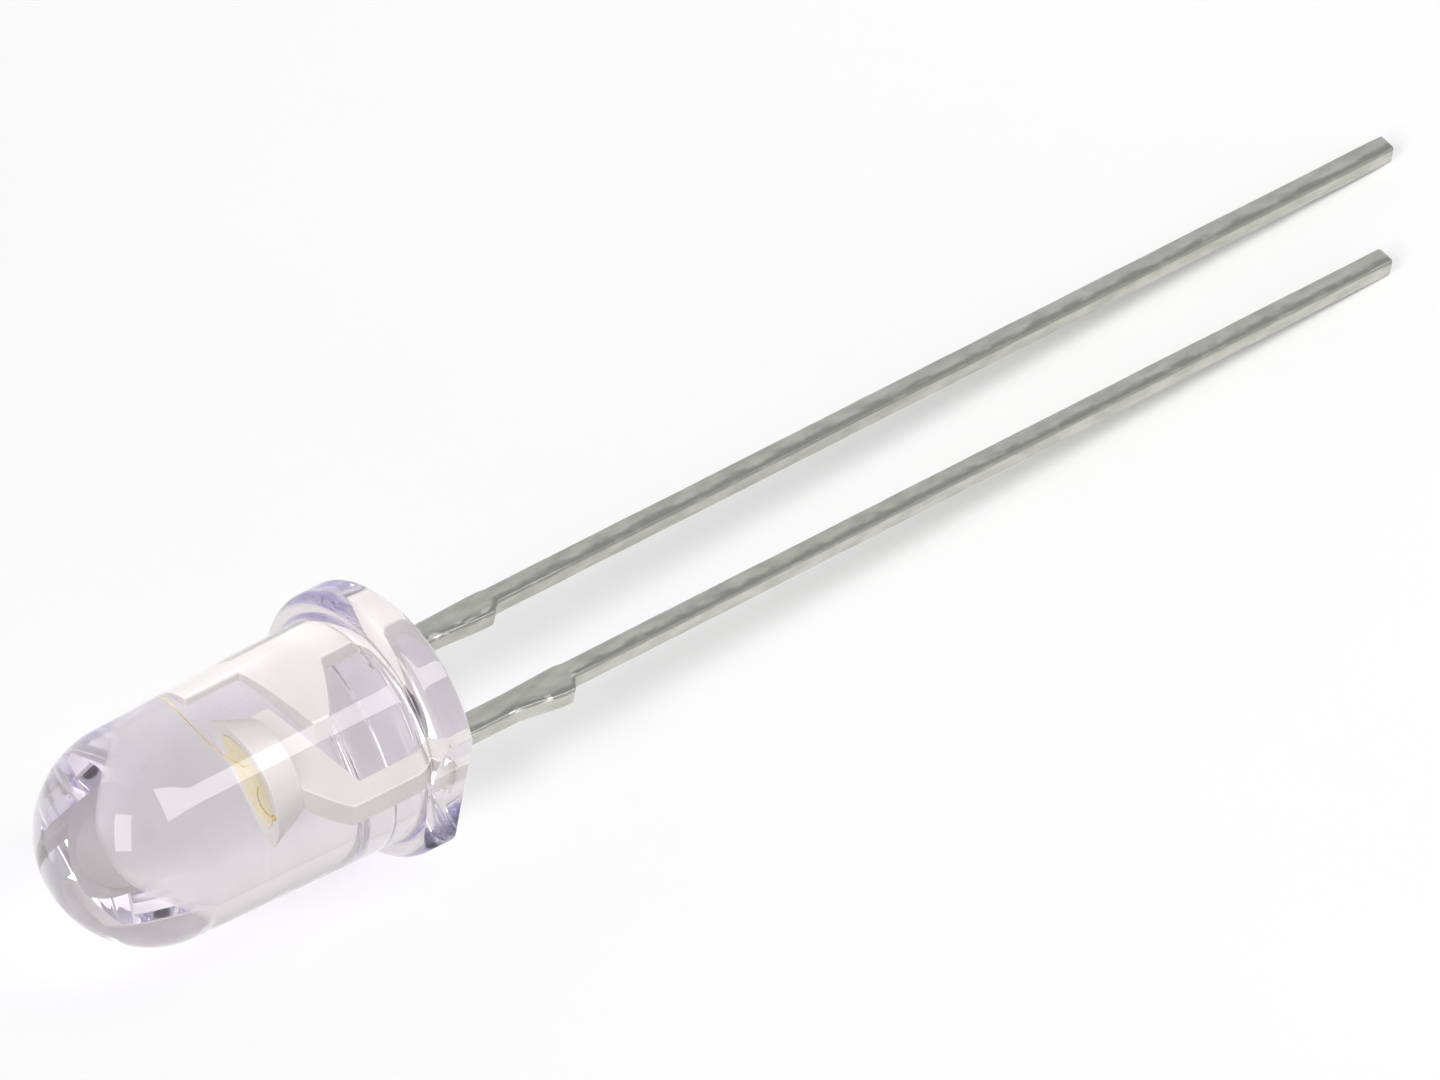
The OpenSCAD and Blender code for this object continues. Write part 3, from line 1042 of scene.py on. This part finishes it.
def aim_softbox(name, place, along, across, size, level):
    """An area lamp in the middle of place, with its sides along two directions."""
    deselect()
    bpy.ops.object.light_add(type="AREA", location=place)
    softbox = bpy.context.object
    softbox.name = name
    x = along.normalized()
    z = x.cross(across).normalized()
    if z.dot(place) < 0:
        z.negate()
    y = z.cross(x)
    softbox.rotation_mode = "QUATERNION"
    softbox.rotation_quaternion = Matrix((x, y, z)).transposed().to_quaternion()
    lamp = softbox.data
    lamp.shape = "RECTANGLE"
    lamp.size, lamp.size_y = size
    lamp.energy = level * math.pi * size[0] * size[1]
    softbox.visible_camera = False


def make_softboxes(studio):
    """A long strip softbox that runs away to the right, and a tall one on the left."""
    right, up, back = camera_axes(studio)

    def seen(x, y, z):
        """A way given by the camera's right, its up and the way back to it."""
        return (right * x + up * y + back * z).normalized()

    near = seen(*STRIP_NEAR) * studio.strip_near
    far = seen(*STRIP_FAR) * studio.strip_far
    aim_softbox("strip_softbox", (near + far) / 2, far - near, seen(*STRIP_ACROSS),
                ((far - near).length, studio.strip_width), studio.softbox_level)
    box = seen(*SIDE_BOX)
    across = up.cross(box)
    size = [2 * studio.box_distance * math.tan(math.radians(spread) / 2)
            for spread in SIDE_BOX_SPREAD]
    aim_softbox("side_softbox", box * studio.box_distance, across, box.cross(across), size,
                studio.softbox_level)


def make_world(studio):
    """A studio that is white at eye level, grey overhead and dark round the camera."""
    world = bpy.data.worlds.new("studio")
    bpy.context.scene.world = world
    world.use_nodes = True
    nodes, links = world.node_tree.nodes, world.node_tree.links
    background = nodes["Background"]
    way = nodes.new("ShaderNodeTexCoord").outputs["Generated"]
    split = nodes.new("ShaderNodeSeparateXYZ")
    links.new(way, split.inputs["Vector"])
    grey = stepped(nodes, links, split.outputs["Z"], *GREY_RISE)
    room = mixed(nodes, links, grey, plain(nodes, studio.horizon), plain(nodes, studio.zenith))
    toward = nodes.new("ShaderNodeVectorMath")
    toward.operation = "DOT_PRODUCT"
    toward.inputs[1].default_value = direction(studio.azimuth, studio.elevation)
    links.new(way, toward.inputs[0])
    outer = math.cos(studio.shade_width + studio.shade_fade)
    shade = stepped(nodes, links, toward.outputs["Value"], outer, math.cos(studio.shade_width))
    links.new(mixed(nodes, links, shade, room, plain(nodes, studio.camera_shade)),
              background.inputs["Color"])
    path = nodes.new("ShaderNodeLightPath")
    links.new(ranged(nodes, links, path.outputs["Is Diffuse Ray"], 1.0, studio.room_level),
              background.inputs["Strength"])


def make_ground(studio):
    """A wide pale ground under the lamp."""
    deselect()
    bpy.ops.mesh.primitive_grid_add(x_subdivisions=studio.ground_steps,
                                    y_subdivisions=studio.ground_steps, size=GROUND_W)
    ground = added("ground")
    material, nodes, links, shader = new_material("ground")
    shade = darker(studio.ground, 0.985)
    paper = mottle(nodes, links, (shade, studio.ground), Scale=60.0, Height=0.0)
    links.new(paper.outputs["Colour"], shader.inputs["Base Color"])
    shader.inputs["Roughness"].default_value = 0.9
    shader.inputs["Specular IOR Level"].default_value = 0.0
    ground.data.materials.append(material)


class LED_OT_stage(Operator):
    """Set up the ground, the studio, the softboxes and the camera"""
    bl_idname = "led.stage"
    bl_label = "Stage"

    def execute(self, context):
        studio = context.scene.led_studio
        make_camera(studio)
        make_world(studio)
        make_ground(studio)
        make_softboxes(studio)
        return {"FINISHED"}


OPERATORS = (
    LED_OT_stage,
    LED_OT_epoxy_lens,
    LED_OT_cathode_lead,
    LED_OT_anode_lead,
    LED_OT_phosphor_fill,
    LED_OT_inner_finish,
)


class LED_PT_panel(Panel):
    """Lists the operators that build the LED"""
    bl_label = "Through hole LED"
    bl_idname = "LED_PT_panel"
    bl_space_type = "VIEW_3D"
    bl_region_type = "UI"
    bl_category = "LED"

    def draw(self, context):
        for operator in OPERATORS:
            self.layout.operator(operator.bl_idname)
        for name, group in GROUPS.items():
            box = self.layout.box()
            for key in group.__annotations__:
                box.prop(getattr(context.scene, name), key)


def register():
    for group in GROUPS.values():
        bpy.utils.register_class(group)
    for name, group in GROUPS.items():
        setattr(bpy.types.Scene, name, PointerProperty(type=group))
    for item in (*OPERATORS, LED_PT_panel):
        bpy.utils.register_class(item)


def unregister():
    for item in reversed((*OPERATORS, LED_PT_panel)):
        bpy.utils.unregister_class(item)
    for name, group in GROUPS.items():
        delattr(bpy.types.Scene, name)
        bpy.utils.unregister_class(group)


def set_view(scene):
    """Plain view of the colours, and enough bounces for light that runs round inside the lens."""
    scene.view_settings.view_transform = "Standard"
    scene.cycles.max_bounces = BOUNCES
    scene.cycles.transmission_bounces = BOUNCES
    scene.cycles.glossy_bounces = BOUNCES


def main():
    register()
    set_view(bpy.context.scene)
    bpy.ops.led.stage()
    bpy.ops.led.epoxy_lens()
    bpy.ops.led.cathode_lead()
    bpy.ops.led.anode_lead()
    bpy.ops.led.phosphor_fill()
    bpy.ops.led.inner_finish()


if __name__ == "__main__":
    main()
